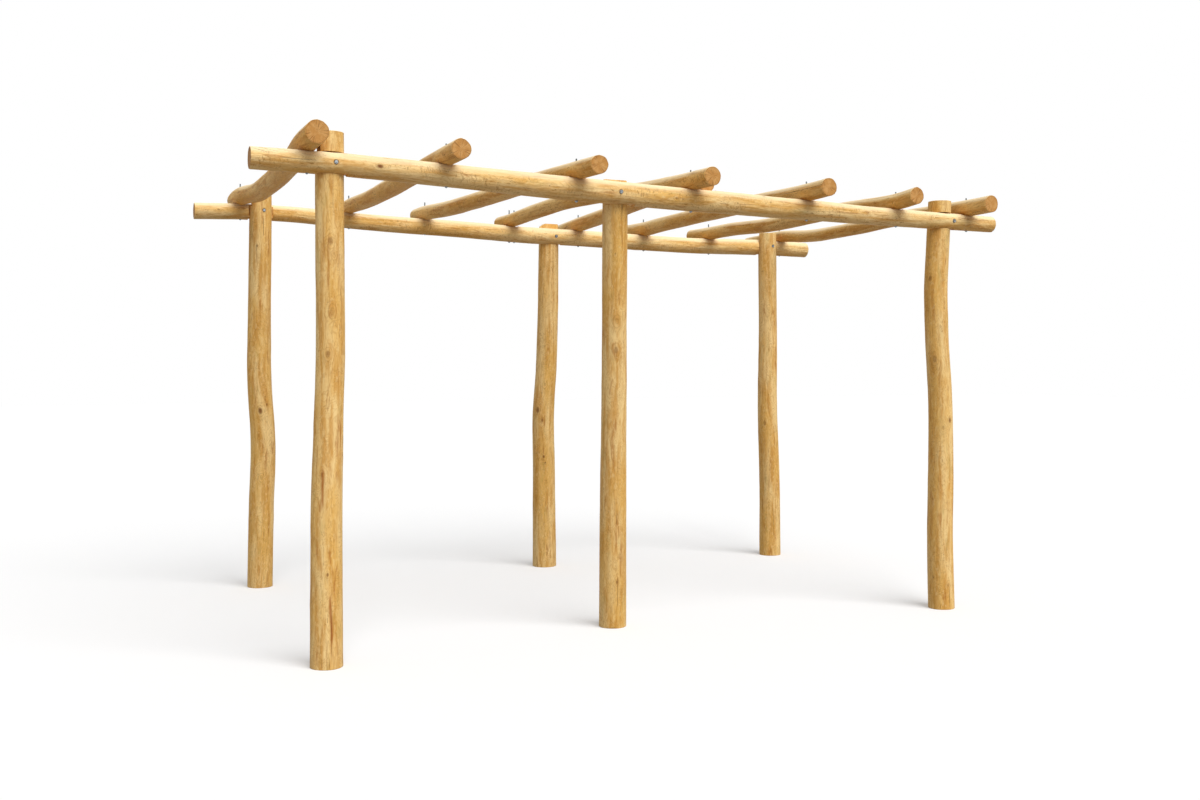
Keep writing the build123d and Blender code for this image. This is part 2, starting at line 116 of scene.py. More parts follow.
def peeled_pine(name, pale, honey, tan, brown, grey, flecked):
    """Pine peeled with a drawknife and left to season.

    The eye gets a honey ground with tan bands and flame-shaped figure along the log, brown
    flecks of inner bark, chatter nicks, sapstain, knots with rings round them, a painted
    highlight that makes the upper sides pale, painted shade that makes the undersides
    darker brown, and a dull satin sheen.
    """
    material, tree = new_material(name)
    grain, knot, check, stain, cut, swirl = log_layers(tree)
    # patches, 90 mm round the log and 400 mm along it
    patches = mottled(tree, grain, 90, 400, 2)
    # tan bands 30 mm wide and 300 mm long, and deeper ones 21 mm wide and 200 mm long
    bands = mottled(tree, grain, 30, 300, 3, 0.55, 0.6)
    deep = mottled(tree, grain, 21, 200, 3, 0.6, 0.8)
    # figure: growth rings laid open by the drawknife, as the contours of lumps 50 mm wide
    figure = mottled(tree, grain, 50, 170, 3, 0.5, 0.7)
    figure = add(tree, "Math", {0: figure, 1: 90.0}, operation="MULTIPLY")
    figure = add(tree, "Math", {0: figure[0]}, operation="SINE")[0]
    # mottling 12 mm wide and 30 mm long
    mottle = mottled(tree, grain, 12, 30, 4, 0.6, 0.4)
    # fibres, really 1 mm apart, drawn 4 mm apart so that they show
    fibres = mottled(tree, grain, 4, 50, 3, 0.6, 0.3)
    # green-grey sapstain 40 mm wide and 150 mm long
    sapstain = mottled(tree, grain, 40, 150, 4, 0.6)
    # flecks of inner bark 6 mm wide and 26 mm long, in places 50 mm wide and 200 mm long
    flecks = gathered(tree, mottled(tree, grain, 6.5, 26, 2, 0.6, 0.5), 0.60, 0.68,
                      mottled(tree, grain, 50, 200), 0.56 - 0.1 * flecked, 0.68 - 0.1 * flecked)
    # chatter: nicks across the grain, 20 mm round the log and 7 mm along it
    chatter = gathered(tree, mottled(tree, grain, 20, 7, 1, 0.5, 0.8), 0.58, 0.64,
                       mottled(tree, grain, 70, 160), 0.50, 0.62)
    # rings round a knot, uneven as the mottling, which fade away from it
    wavy = add(tree, "Math", {0: mottle, 1: 7.0}, operation="MULTIPLY")
    wavy = add(tree, "Math", {0: swirl, 1: 17.0, 2: wavy[0]}, operation="MULTIPLY_ADD")
    wavy = add(tree, "Math", {0: wavy[0]}, operation="SINE")
    rings = gathered(tree, wavy[0], 0.1, 1.0, swirl, 1.5, 0.4)
    # 1 where the wood faces the sky, and -1 where it faces the ground; it places the painted highlight
    # on upper sides and the painted shade on undersides
    upward = add(tree, "SeparateXYZ", {0: add(tree, "NewGeometry")["Normal"]})[2]

    colour = layered(tree, linear(honey), [
        (patches, 0.36, 0.64, 1.0, pale),
        (bands, 0.44, 0.66, 0.75, tan),
        (deep, 0.56, 0.70, 0.62, "#AC6D32"),
        (figure, 0.1, 1.0, 0.30, "#B27E3E"),
        (mottle, 0.50, 0.70, 0.55, pale),
        (mottle, 0.47, 0.27, 0.36, tan),
        (sapstain, 0.57, 0.74, 0.26, grey),
        (fibres, 0.56, 0.32, 0.10, brown),
        (flecks, 0.0, 1.0, 0.4 + 0.35 * flecked, brown),
        (chatter, 0.0, 1.0, 0.12 + 0.38 * flecked, brown),
        (rings, 0.0, 1.0, 0.20, brown),
        (upward, 0.16, 0.90, 0.78, "#FCEAC2"),     # painted highlight: the upper side made pale, as if lit strongly from above
        (upward, 0.0, -0.9, 0.30, "#A86A1E"),      # painted shade: the underside made darker brown
        (cut, 0.0, 1.0, 0.16, "#DFA24E"),
        (stain, 0.0, 1.0, 0.95, "#A4602A"),
        (knot, 0.0, 1.0, 0.95, "#6E3A1A"),
        (check, 0.0, 1.0, 0.90, "#5A3517"),
    ])
    height = add(tree, "Math", {0: fibres, 1: 0.4}, operation="MULTIPLY")
    for pattern, depth in ((mottle, 1.2), (figure, 0.10), (flecks, -0.45), (chatter, -0.25)):
        height = add(tree, "Math", {0: pattern, 1: depth, 2: height[0]}, operation="MULTIPLY_ADD")
    bump = add(tree, "Bump", {"Height": height[0], "Strength": 0.5, "Distance": 1.4 * MM})
    rough = add(tree, "MapRange", {"Value": mottle, "To Min": 0.50, "To Max": 0.74})
    shader = add(tree, "BsdfPrincipled", {
        "Base Color": colour, "Roughness": rough[0], "Normal": bump[0],
        "Specular IOR Level": 0.13, "Specular Tint": linear("#FFD9A0")})
    add(tree, "OutputMaterial", {"Surface": shader[0]})
    return material


def sawn_pine_end(name, heart, sap, ring):
    """Pine sawn across the grain with a chain saw.

    The eye gets tan wood with year rings, fine drying cracks that run out from the pith, a
    darker rim where the end has dried and a dull, furry surface.
    """
    material, tree = new_material(name)
    grain, _, check, _, cut, _ = log_layers(tree)
    flat = add(tree, "VectorMath", {0: grain, 1: (1, 1, 0)}, operation="MULTIPLY")[0]
    # the rings' wobble comes in lumps 45 mm wide, which is 22 in a metre
    wobble = add(tree, "TexNoise", {"Vector": flat, "Scale": 22.0, "Detail": 2.0})[0]
    radius = add(tree, "VectorMath", {0: flat}, operation="LENGTH")["Value"]
    # year rings, really 3 mm apart, drawn 6 mm apart so that they show, and not quite round
    bent = add(tree, "Math", {0: wobble, 1: 0.012, 2: radius}, operation="MULTIPLY_ADD")[0]
    waves = add(tree, "Math", {0: bent, 1: 2 * pi / (6 * MM)}, operation="MULTIPLY")[0]
    rings = add(tree, "Math", {0: waves}, operation="SINE")[0]
    # drying cracks, by direction from the pith; each shows along parts 70 mm long, 14 in a metre
    way = add(tree, "VectorMath", {0: flat}, operation="NORMALIZE")[0]
    way = add(tree, "VectorMath", {0: way, 1: grain}, operation="ADD")[0]
    turn = add(tree, "TexNoise", {"Vector": way, "Scale": 2.6, "Detail": 2.0, "Roughness": 0.6})[0]
    off = add(tree, "Math", {0: turn, 1: 0.5}, operation="SUBTRACT")[0]
    off = add(tree, "Math", {0: off}, operation="ABSOLUTE")[0]
    parts = add(tree, "TexNoise", {"Vector": grain, "Scale": 14.0})[0]
    cracks = gathered(tree, off, 0.030, 0.006, parts, 0.36, 0.52)
    # blotches 22 mm wide, 45 in a metre
    blotch = add(tree, "TexNoise", {"Vector": grain, "Scale": 45.0, "Detail": 3.0})[0]

    colour = layered(tree, linear(heart), [
        (blotch, 0.35, 0.70, 1.0, sap),
        (rings, -0.2, 1.0, 0.20, ring),
        (cut, 0.0, 1.0, 0.45, ring),
        (cracks, 0.0, 1.0, 0.60, "#7A4A22"),
        (check, 0.0, 1.0, 0.90, "#5A3819"),
    ])
    height = add(tree, "Math", {0: rings, 1: blotch}, operation="ADD")
    bump = add(tree, "Bump", {"Height": height[0], "Strength": 0.3, "Distance": 0.8 * MM})
    shader = add(tree, "BsdfPrincipled", {"Base Color": colour, "Roughness": 0.8,
                                          "Specular IOR Level": 0.2, "Normal": bump[0]})
    add(tree, "OutputMaterial", {"Surface": shader[0]})
    return material


def zinc_steel():
    """Steel fixings, zinc plated and gone dull outdoors.

    The eye gets a mid grey metal with a cloudy bloom and blurred highlights.
    """
    material, tree = new_material("zinc_plated_steel")
    place = add(tree, "TexCoord")["Object"]
    # clouds of bloom 8 mm across
    bloom = add(tree, "TexNoise", {"Vector": place, "Scale": 1 / (8 * MM), "Detail": 4.0})[0]
    colour = layered(tree, linear("#757B7F"), [(bloom, 0.35, 0.70, 1.0, "#A9AEB1")])
    rough = add(tree, "MapRange", {"Value": bloom, "To Min": 0.32, "To Max": 0.6})
    bump = add(tree, "Bump", {"Height": bloom, "Strength": 0.15, "Distance": 0.3 * MM})
    shader = add(tree, "BsdfPrincipled", {"Base Color": colour, "Metallic": 1.0,
                                          "Roughness": rough[0], "Normal": bump[0]})
    add(tree, "OutputMaterial", {"Surface": shader[0]})
    return material


# Each wood's peeled face and its sawn end
WOODS = {
    "post_log": [
        peeled_pine("peeled_pine_post", "#F4D190", "#E6B666", "#CF9648", "#8C5A24", "#A3924E", 0.25),
        sawn_pine_end("sawn_pine_post_end", "#D39E5C", "#DFB272", "#9C6732")],
    "beam_log": [
        peeled_pine("peeled_pine_beam", "#F7D79A", "#EBBC6E", "#D49C4E", "#8C5A24", "#A3924E", 0.8),
        sawn_pine_end("sawn_pine_beam_end", "#B98550", "#CC9C62", "#84542A")],
    "rafter_log": [
        peeled_pine("peeled_pine_rafter", "#F4CB82", "#E6B05C", "#CE8E3C", "#85501A", "#9A8744", 1.0),
        sawn_pine_end("sawn_pine_rafter_end", "#C68E4C", "#D6A362", "#8A5626")],
}
STEEL = zinc_steel()


# ================================================================ reading the frame's logs
SIDEWAYS = {0: (1, 2), 1: (2, 0), 2: (0, 1)}   # the two axes across a log, for each main axis
OUTSIDE = 160 * MM                             # rays start this far from a log's centre line
STATION = 20 * MM                              # between the places where a log is measured
RAYS = 36                                      # round the log at each of them
ON_THE_ROUND = 2.5 * MM                        # a spot this near the circle isn't on a flat
ENOUGH_SPOTS = 9                               # of them, for a circle of their own
MOST_DRIFT = 4 * MM                            # of the centre line, from one place to the next
SOFTENING = 7                                  # places to each side that round a kink off


def part_tree(name):
    """The frame's own mesh of a node, ready for rays."""
    made = bmesh.new()
    made.from_mesh(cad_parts[name].data)
    tree = BVHTree.FromBMesh(made)
    made.free()
    return tree


def surface_distance(tree, axis, along, centre, way):
    """How far a log's surface is from its centre line, found from outside; 0 if it isn't there."""
    start, aim = Vector(), Vector()
    start[axis] = along
    for side, place in enumerate(SIDEWAYS[axis]):
        start[place] = centre[side] + way[side] * OUTSIDE
        aim[place] = -way[side]
    hit = tree.ray_cast(start, aim, 2 * OUTSIDE)
    return OUTSIDE - hit[3] if hit[0] is not None else 0.0


def round_through(points):
    """Centre and radius of the circle nearest to some points."""
    rows = np.c_[2 * points, np.ones(len(points))]
    x, y, rest = np.linalg.lstsq(rows, (points ** 2).sum(1), rcond=None)[0]
    return np.array([x, y]), (rest + x * x + y * y) ** 0.5


def softened(values):
    """Values along a log with their kinks rounded off and their ends kept."""
    weights = np.exp(-np.linspace(-2, 2, 2 * SOFTENING + 1) ** 2 / 2)
    padded = np.pad(values, SOFTENING, mode="reflect", reflect_type="odd")
    return np.convolve(padded, weights / weights.sum(), mode="valid")


class Spine:
    """A log's centre line and thickness, measured on the frame's mesh."""

    def __init__(self, name, axis):
        self.axis, self.tree = axis, part_tree(name)
        low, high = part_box(name)
        self.low, self.high = low[axis], high[axis]
        stations = round((self.high - self.low) / STATION)
        self.along = np.linspace(self.low + MM, self.high - MM, stations)
        points = np.array([v.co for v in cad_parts[name].data.vertices])
        end = points[points[:, axis] < self.low + MM][:, list(SIDEWAYS[axis])]
        centre, radius = round_through(end)
        turns = np.linspace(0, 2 * pi, RAYS, endpoint=False)
        ways = np.c_[np.cos(turns), np.sin(turns)]
        centres, radii, drift = [], [], np.zeros(2)
        for place in self.along:
            guess = centre + drift
            hits = [surface_distance(self.tree, axis, place, guess, way) for way in ways]
            spots = guess + ways * np.array(hits)[:, None]
            for _ in range(2):
                good = np.abs(np.linalg.norm(spots - guess, axis=1) - radius) < ON_THE_ROUND
                if good.sum() >= ENOUGH_SPOTS:
                    guess, radius = round_through(spots[good])
            drift = np.clip(guess - centre, -MOST_DRIFT, MOST_DRIFT) if centres else drift
            centre = guess
            centres.append(centre)
            radii.append(radius)
        centres, radii = np.array(centres), np.array(radii)
        self.measured = centres, radii
        self.smooth = np.c_[softened(centres[:, 0]), softened(centres[:, 1])], softened(radii)

    def at(self, places, which):
        """Centres and radii at places along the log, measured or smooth."""
        centres, radii = which
        rows = [np.interp(places, self.along, column) for column in (*centres.T, radii)]
        return np.c_[rows[0], rows[1]], rows[2]


def clusters(values, gap):
    """Groups of values with no gap inside a group."""
    order = np.sort(values)
    return np.split(order, np.where(np.diff(order) > gap)[0] + 1)


# ================================================================ fixings
HEAD_HEIGHT, WASHER_THICK, NUT_HEIGHT, BOLT_END = 7 * MM, 2 * MM, 8 * MM, 10 * MM
BOLT_RADIUS, BOLT_WIDTH, WASHER_RADIUS, BOLT_SEAT = 5 * MM, 16 * MM, 9 * MM, 12 * MM
ROD_RADIUS, ROD_WIDTH, ROD_WASHER_RADIUS, ROD_SEAT = 4 * MM, 13 * MM, 7.5 * MM, 10.5 * MM
ROD_BELOW, ROD_NUT, ROD_WASHER = 3 * MM, 6 * MM, 2 * MM
ROW_GAP = 0.5              # the rods over the front beam are this far from those at the back
PAIR_GAP = 11 * MM         # and the rods of a pair are further apart than this


def bolts():
    """Each bolt's node, place, and the faces that its washers sit on."""
    found = []
    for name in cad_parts:
        if name.endswith("_bolt"):
            low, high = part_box(name)
            middle = (low + high) / 2
            found.append({"node": name, "x": middle.x, "z": middle.z, "start": low.y, "end": high.y,
                          "front": low.y + HEAD_HEIGHT + WASHER_THICK,
                          "back": high.y - BOLT_END - NUT_HEIGHT - WASHER_THICK})
    return found


def rods():
    """Each rod's node, place, top, and the face under the beam that its washer sits on."""
    found = []
    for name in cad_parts:
        if name.endswith("_rods"):
            points = np.array([v.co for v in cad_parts[name].data.vertices])
            for row in clusters(points[:, 1], ROW_GAP):
                near = points[(points[:, 1] >= row[0]) & (points[:, 1] <= row[-1])]
                for one in clusters(near[:, 0], PAIR_GAP):
                    own = near[(near[:, 0] >= one[0]) & (near[:, 0] <= one[-1])]
                    low, high = own.min(0), own.max(0)
                    middle = (low + high) / 2
                    found.append({"node": name, "x": middle[0], "y": middle[1],
                                  "bottom": low[2], "top": high[2],
                                  "face": low[2] + ROD_BELOW + ROD_NUT + ROD_WASHER})
    return found


BOLTS, RODS = bolts(), rods()


# ================================================================ logs
RING, RAFTER_RING = 13.5 * MM, 14.5 * MM       # along a log, from one ring of its mesh to the next
COLUMN, RAFTER_COLUMN = 5 * MM, 5.3 * MM       # and round it, from one column to the next
WASHER_LINES = np.arange(-16.8, 16.9, 2.4) * MM    # finer lines to each side of a washer's middle
WASHER_ROOM = 18 * MM
CHECK_LINES = np.array([-3.4, -1.7, -0.7, 0, 0.7, 1.7, 3.4]) * MM    # and of a drying check
CHECK_ROOM = 4.2 * MM
KNOT_LINES = np.array([-2.4, -1.6, -0.8, 0, 0.8, 1.6, 2.4])   # and of a dark knot, in its cores
DARK_KNOT = 0.65
SHARP_ROOM = 4 * MM
LEAN_STEP = 7 * MM         # between rings along a drying check that leans
SAME_WAY = 0.2             # washers that face less than this apart, in radians, share columns
STEP_HEIGHT = 3.5 * MM     # the log's surface steps where it jumps this much between rings
NO_SURFACE = 20 * MM       # a reading under this isn't the log's surface
STEP_SIDE = 0.3 * MM       # rings lie this far to each side of a step
END_LINE, CHAMFER_LINE = 0.05 * MM, 1.6 * MM   # the last rings lie this far inside the log's ends
END_CHAMFER = 1.5 * MM
END_ROOM = 4 * MM
END_CRACK = 2.5 * MM       # depth of a drying check in a sawn end
CLOSEST_RINGS = 0.2 * MM
HOLE_ROOM = 1.6 * MM       # round a hole, where the log keeps its own round
FLAT_FROM, FLAT_MORE = 0.7 * MM, 1.2 * MM      # missing wood that starts a flat, and more that fills it
SEATS_WITHIN = 2 * MM      # of a log's box, for a washer to seat on that log
SEAT_EDGE = 2.4 * MM       # points this near the edge of a washer's flat move to the edge,
JUST_INSIDE, JUST_OUTSIDE = 0.2 * MM, 0.3 * MM     # and stop this far from it
STREAK_RISE, STREAK_FALL = 60 * MM, 100 * MM   # over which a stained streak comes and goes
GRAIN_APART = 7.3          # metres from one log's grain to the next, so that no two look alike
# a log's swells: millimetres high, lumps in a radius round it, lumps in a metre, and the seed
SWELLS = ((1.7, 1.1, 1.6, 1), (0.9, 2.6, 4.0, 2), (0.5, 6, 13, 3), (0.32, 11, 24, 9))
# a sawn end's rings, as shares of the rim's distance from the pith
END_SHARES = np.array([0.985, 0.93, 0.84, 0.72, 0.58, 0.44, 0.3, 0.17, 0.07])
FAR_FROM_KNOTS = 4.0       # in a knot's own sizes


def lumps(points, seed):
    """Smooth random heights from -1 to 1 at points given in lump sizes."""
    size = 24
    heights = np.random.default_rng(seed).uniform(-1, 1, (size, size, size))
    cell = np.floor(points).astype(int)
    part = points - cell
    part = part * part * (3 - 2 * part)
    total = 0
    for corner in product((0, 1), repeat=3):
        where = (cell + corner) % size
        weight = np.prod(np.where(corner, part, 1 - part), axis=-1)
        total = total + weight * heights[where[..., 0], where[..., 1], where[..., 2]]
    return total


def turned(angle):
    """An angle brought to between -pi and pi."""
    return (angle + pi) % (2 * pi) - pi


def finer(turns, angle, lines, room):
    """Angles round a log, with finer lines about one angle in place of those within room of it."""
    return np.sort(np.r_[turns[np.abs(turned(turns - angle)) >= room], turned(angle + lines)])


def ramp(place, low, high, rise, fall):
    """0 outside low to high, and 1 inside once past the lengths of the rise and the fall."""
    return np.clip((place - low) / rise, 0, 1) * np.clip((high - place) / fall, 0, 1)


class Log:
    """A peeled log laid over one of the frame's logs."""

    def __init__(self, name, axis, wood, seed, marks, ring=RING, column=COLUMN):
        self.name, self.axis, self.wood, self.seed = name, axis, wood, seed
        self.knots, self.checks, self.streaks = marks
        self.spine = Spine(name, axis)
        self.fixings = self.own_fixings()
        self.turns = self.column_turns(column)
        self.ways = np.c_[np.cos(self.turns), np.sin(self.turns)]
        self.places = self.ring_places(ring)
        self.build()

    def own_fixings(self):
        """The bolts and rods that cross this log: the way each side of them faces, their holes,
        whether a washer seats on the log there, and whether the mesh is finer there."""
        low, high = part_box(self.name)
        found = []
        for bolt in BOLTS:
            stem = bolt["node"].replace("_bolt", "")
            if self.name in (stem + "_post", stem.split("_")[0] + "_beam"):
                for side, face in ((-1, bolt["front"]), (1, bolt["back"])):
                    seats = low.y - SEATS_WITHIN < face < high.y + SEATS_WITHIN
                    found.append({"across": 1, "side": side, "face": face, "seats": seats,
                                  "fine": seats, "middle": {0: bolt["x"], 2: bolt["z"]},
                                  "hole": BOLT_RADIUS, "seat": BOLT_SEAT})
        for rod in RODS:
            on_beam = self.name == ("front_beam" if rod["y"] < 0 else "back_beam")
            if on_beam or self.name == rod["node"].replace("_rods", ""):
                for side, seats, fine in ((-1, on_beam, on_beam), (1, False, True)):
                    found.append({"across": 2, "side": side, "face": rod["face"], "seats": seats,
                                  "fine": fine, "middle": {0: rod["x"], 1: rod["y"]},
                                  "hole": ROD_RADIUS, "seat": ROD_SEAT})
        return found

    def turn_towards(self, across, side):
        """The angle round the log that faces along an axis."""
        if across == SIDEWAYS[self.axis][0]:
            return 0.0 if side > 0 else -pi
        return side * pi / 2

    def column_turns(self, column):
        """Angles of the mesh's columns: even, and finer in line with washers and checks."""
        typical = self.spine.measured[1].mean()
        turns = np.linspace(-pi, pi, round(2 * pi * typical / column), endpoint=False)
        used = []
        for spot in self.fixings:
            turn = self.turn_towards(spot["across"], spot["side"])
            if all(abs(turned(turn - other)) > SAME_WAY for other in used):
                used.append(turn)
                turns = finer(turns, turn, WASHER_LINES / typical, WASHER_LINES[-1] / typical)
        for check in self.checks:
            turns = finer(turns, radians(check["turn"]), CHECK_LINES / typical, CHECK_ROOM / typical)
        return turns

    def reading(self, places):
        """Surface distances from the smooth centre line, for every place and every way."""
        centres, _ = self.spine.at(places, self.spine.smooth)
        return np.array([[surface_distance(self.spine.tree, self.axis, place, centre, way)
                          for way in self.ways] for place, centre in zip(places, centres)])

    def sharp_places(self):
        """Places of the rings that keep a dark knot or a leaning check sharp."""
        places = [knot["at"] + reach * knot["core"] * knot["size"]
                  for knot in self.knots if knot["dark"] > DARK_KNOT for reach in KNOT_LINES]
        for check in self.checks:
            if check["lean"]:
                places += np.arange(check["from"], check["to"], LEAN_STEP).tolist()
        return self.spine.low + np.array(places)

    def step_places(self, places):
        """Places on both sides of every step in the log that lies between two rings."""
        rough, found = self.reading(places), []
        for index, (low, high) in enumerate(zip(places, places[1:])):
            here, there = rough[index], rough[index + 1]
            jump = np.abs(there - here)
            jump[(here < NO_SURFACE) | (there < NO_SURFACE)] = 0
            if jump.max() > STEP_HEIGHT:
                column = jump.argmax()
                level = (here[column] + there[column]) / 2
                for _ in range(6):
                    middle = (low + high) / 2
                    centres, _ = self.spine.at([middle], self.spine.smooth)
                    reach = surface_distance(self.spine.tree, self.axis, middle, centres[0],
                                             self.ways[column])
                    if (reach > level) == (there[column] > here[column]):
                        high = middle
                    else:
                        low = middle
                found += [low - STEP_SIDE, high + STEP_SIDE]
        return found

    def ring_places(self, ring):
        """Places of the mesh's rings: even, but finer at knots and fixings, and tight on both
        sides of a step."""
        low, high = self.spine.low, self.spine.high
        places = np.linspace(low, high, round((high - low) / ring) + 1)
        sharp = self.sharp_places()
        if len(sharp):
            clear = np.abs(places[:, None] - sharp).min(1) > SHARP_ROOM
            places = np.r_[places[clear], sharp]
        for spot in self.fixings:
            if spot["fine"]:
                middle = spot["middle"][self.axis]
                places = np.r_[places[np.abs(places - middle) > WASHER_ROOM], middle + WASHER_LINES]
        places = np.unique(np.round(places, 5))
        places = places[(places > low + END_ROOM) & (places < high - END_ROOM)]
        ends = [low + END_LINE, low + CHAMFER_LINE, high - CHAMFER_LINE, high - END_LINE]
        places = np.unique(np.r_[places, self.step_places(places), ends])
        return places[np.r_[True, np.diff(places) > CLOSEST_RINGS]]

    def relief(self, radius):
        """Swells, facets, knots and drying checks: heights, the marks they leave, nearness to
        a knot, and how far the grain bends round the knots."""
        place = self.places[:, None] - self.spine.low
        turn = self.turns[None, :] + 0 * place
        radius = radius[:, None]

        def swell(across, along, seed):
            """Heights from -1 to 1: lumps in a radius round the log, and in a metre along it."""
            points = np.stack([np.cos(turn) * across, np.sin(turn) * across,
                               place * along + 0 * turn], -1)
            return lumps(points + 50, self.seed * 10 + seed)

        height = sum(high * swell(across, along, seed) for high, across, along, seed in SWELLS)
        # the facets that the drawknife leaves, with a crease between them
        height = (height - 0.9 * (np.abs(swell(5, 6, 4)) - 0.25)) * MM
        knot_mark, check_mark, stain_mark = (np.zeros_like(height) for _ in range(3))
        nearest, bend = np.full_like(height, FAR_FROM_KNOTS), np.zeros_like(height)
        ragged = 0.75 + 0.35 * swell(0.5, 22, 6)
        for knot in self.knots:
            ahead = place - knot["at"]
            aside = radius * turned(turn - radians(knot["turn"]))
            # a knot is longer along the log than round it
            far = np.hypot(ahead / 1.7, aside) / knot["size"]
            core = far / knot["core"]
            height += knot["rise"] * (np.exp(-far ** 2 * 1.6) - 0.45 * np.exp(-core ** 2))
            knot_mark = np.maximum(knot_mark, knot["dark"] * np.exp(-core ** 3) * ragged)
            nearest = np.minimum(nearest, far)
            bend += aside * 0.7 * np.exp(-far ** 2)
        for check in self.checks:
            run = check["to"] - check["from"]
            open_here = ramp(place, check["from"], check["to"], run / 6, run / 3)
            way = np.radians(check["turn"] + check["lean"] * (place - check["from"]))
            aside = radius * turned(turn - way)
            groove = np.clip(1 - np.abs(aside) / check["width"], 0, 1) * open_here * ragged
            height -= check["depth"] * groove
            shown = np.clip(groove * 1.2, 0, 0.2 * check["depth"] / MM)
            check_mark = np.maximum(check_mark, shown)
        for streak in self.streaks:
            shown = ramp(place, streak["from"], streak["to"], STREAK_RISE, STREAK_FALL)
            aside = radius * turned(turn - radians(streak["turn"])) + 6 * MM * swell(0.5, 7, 8)
            broken = np.clip(0.6 + 0.9 * swell(8, 20, 5), 0, 1)
            shown = streak["dark"] * shown * broken * np.exp(-(aside / streak["width"]) ** 2)
            stain_mark = np.maximum(stain_mark, shown)
        return height, np.stack([knot_mark, check_mark, stain_mark], -1), nearest, bend

    def laid_out(self, centres, reach):
        """Points at distances from the centre line, ring by ring."""
        first, second = SIDEWAYS[self.axis]
        points = np.zeros((*reach.shape, 3))
        points[..., self.axis] = self.places[:, None]
        points[..., first] = centres[:, :1] + self.ways[:, 0] * reach
        points[..., second] = centres[:, 1:] + self.ways[:, 1] * reach
        return points

    def peeled_side(self):
        """The log's long side and the centre of each ring: its points, and what they carry."""
        spine = self.spine
        inner = np.clip(self.places, spine.low + MM, spine.high - MM)
        centres, radius = spine.at(inner, spine.smooth)
        true_centres, true_radius = spine.at(inner, spine.measured)
        expected = true_radius[:, None] + (true_centres - centres) @ self.ways.T
        reading = self.reading(inner)
        height, marks, nearest, bend = self.relief(radius)
        cut = np.clip((expected - reading - FLAT_FROM) / FLAT_MORE, 0, 1)

        reach = radius[:, None] + height
        points = self.laid_out(centres, reach)
        # a hole isn't a flat: what lies over one keeps the round of the log
        for spot in self.fixings:
            away = np.hypot(*[points[..., m] - place for m, place in spot["middle"].items()])
            cut[away < spot["hole"] + HOLE_ROOM] = 0
        reach = (1 - cut) * reach + cut * np.where(reading > 0, reading, reach)
        edge = np.minimum(self.places - spine.low, spine.high - self.places)
        reach -= np.clip(END_CHAMFER - edge, 0, END_CHAMFER)[:, None]
        points = self.laid_out(centres, reach)
        for spot in self.fixings:
            if spot["seats"]:
                self.seat_washer(points, centres, spot)

        flow = self.turns[None, :] - bend / radius[:, None]
        length = self.places[:, None] + GRAIN_APART * self.seed + 0 * reach
        grain = np.stack([np.cos(flow) * reach, np.sin(flow) * reach, length], -1)
        shape = np.stack([cut, nearest, 0 * cut], -1)
        return centres, {"place": points, "grain": grain, "marks": marks * (1 - cut)[..., None],
                         "shape": shape}

    def seat_washer(self, points, centres, spot):
        """Sinks a crisp round flat into the log under a washer."""
        across, side, radius = spot["across"], spot["side"], spot["seat"]
        plane = list(spot["middle"])
        middle = np.array(list(spot["middle"].values()))
        offset = points[..., plane] - middle
        away = np.hypot(offset[..., 0], offset[..., 1])
        centre = centres[:, SIDEWAYS[self.axis].index(across)][:, None]
        facing = (points[..., across] - centre) * side > 0
        inside = facing & (away < radius)
        rim = facing & (away >= radius) & (away < radius + SEAT_EDGE)
        moved = np.where(away > radius - SEAT_EDGE, radius - JUST_INSIDE, away)
        moved = np.where(rim, radius + JUST_OUTSIDE, moved)
        scale = np.where(inside | rim, moved / np.maximum(away, 1e-6), 1)
        points[..., plane] = np.where((inside | rim)[..., None],
                                      middle + offset * scale[..., None], points[..., plane])
        deeper = inside & ((points[..., across] - spot["face"]) * side > 0)
        points[..., across][deeper] = spot["face"]

    def sawn_end(self, rim, rim_grain, centre, last):
        """Points of a sawn end inside its rim; the log's drying checks run on into it."""
        chance = np.random.default_rng(self.seed * 10 + (8 if last else 7))
        inward, spread = 1 - END_SHARES, END_SHARES[:, None, None]
        depth = np.zeros((len(END_SHARES), len(rim)))
        for check in self.checks:
            column = np.abs(turned(self.turns - radians(check["turn"]))).argmin()
            depth[inward <= chance.uniform(0.45, 0.95), column] = chance.uniform(0.5, 1)
        pith = np.zeros(3)
        pith[list(SIDEWAYS[self.axis])] = centre
        pith[self.axis] = rim[0][self.axis]
        points = pith + (rim - pith) * spread
        points[..., self.axis] += (-1 if last else 1) * END_CRACK * depth
        grain, marks, shape = (np.zeros_like(points) for _ in range(3))
        grain[..., :2] = rim_grain[:, :2] * END_SHARES[:, None, None]
        grain[..., 2] = rim_grain[0][2]
        marks[..., 1] = depth * 0.7
        # the dried rim
        shape[..., 0] = np.clip(1 - inward / 0.14, 0, 1)[:, None]
        shape[..., 1] = FAR_FROM_KNOTS
        rows = {"place": (points, pith), "grain": (grain, [0, 0, rim_grain[0][2]]),
                "marks": (marks, [0, 0.2, 0]), "shape": (shape, [0, FAR_FROM_KNOTS, 0])}
        return {title: np.r_[grid.reshape(-1, 3), [at_pith]] for title, (grid, at_pith) in rows.items()}

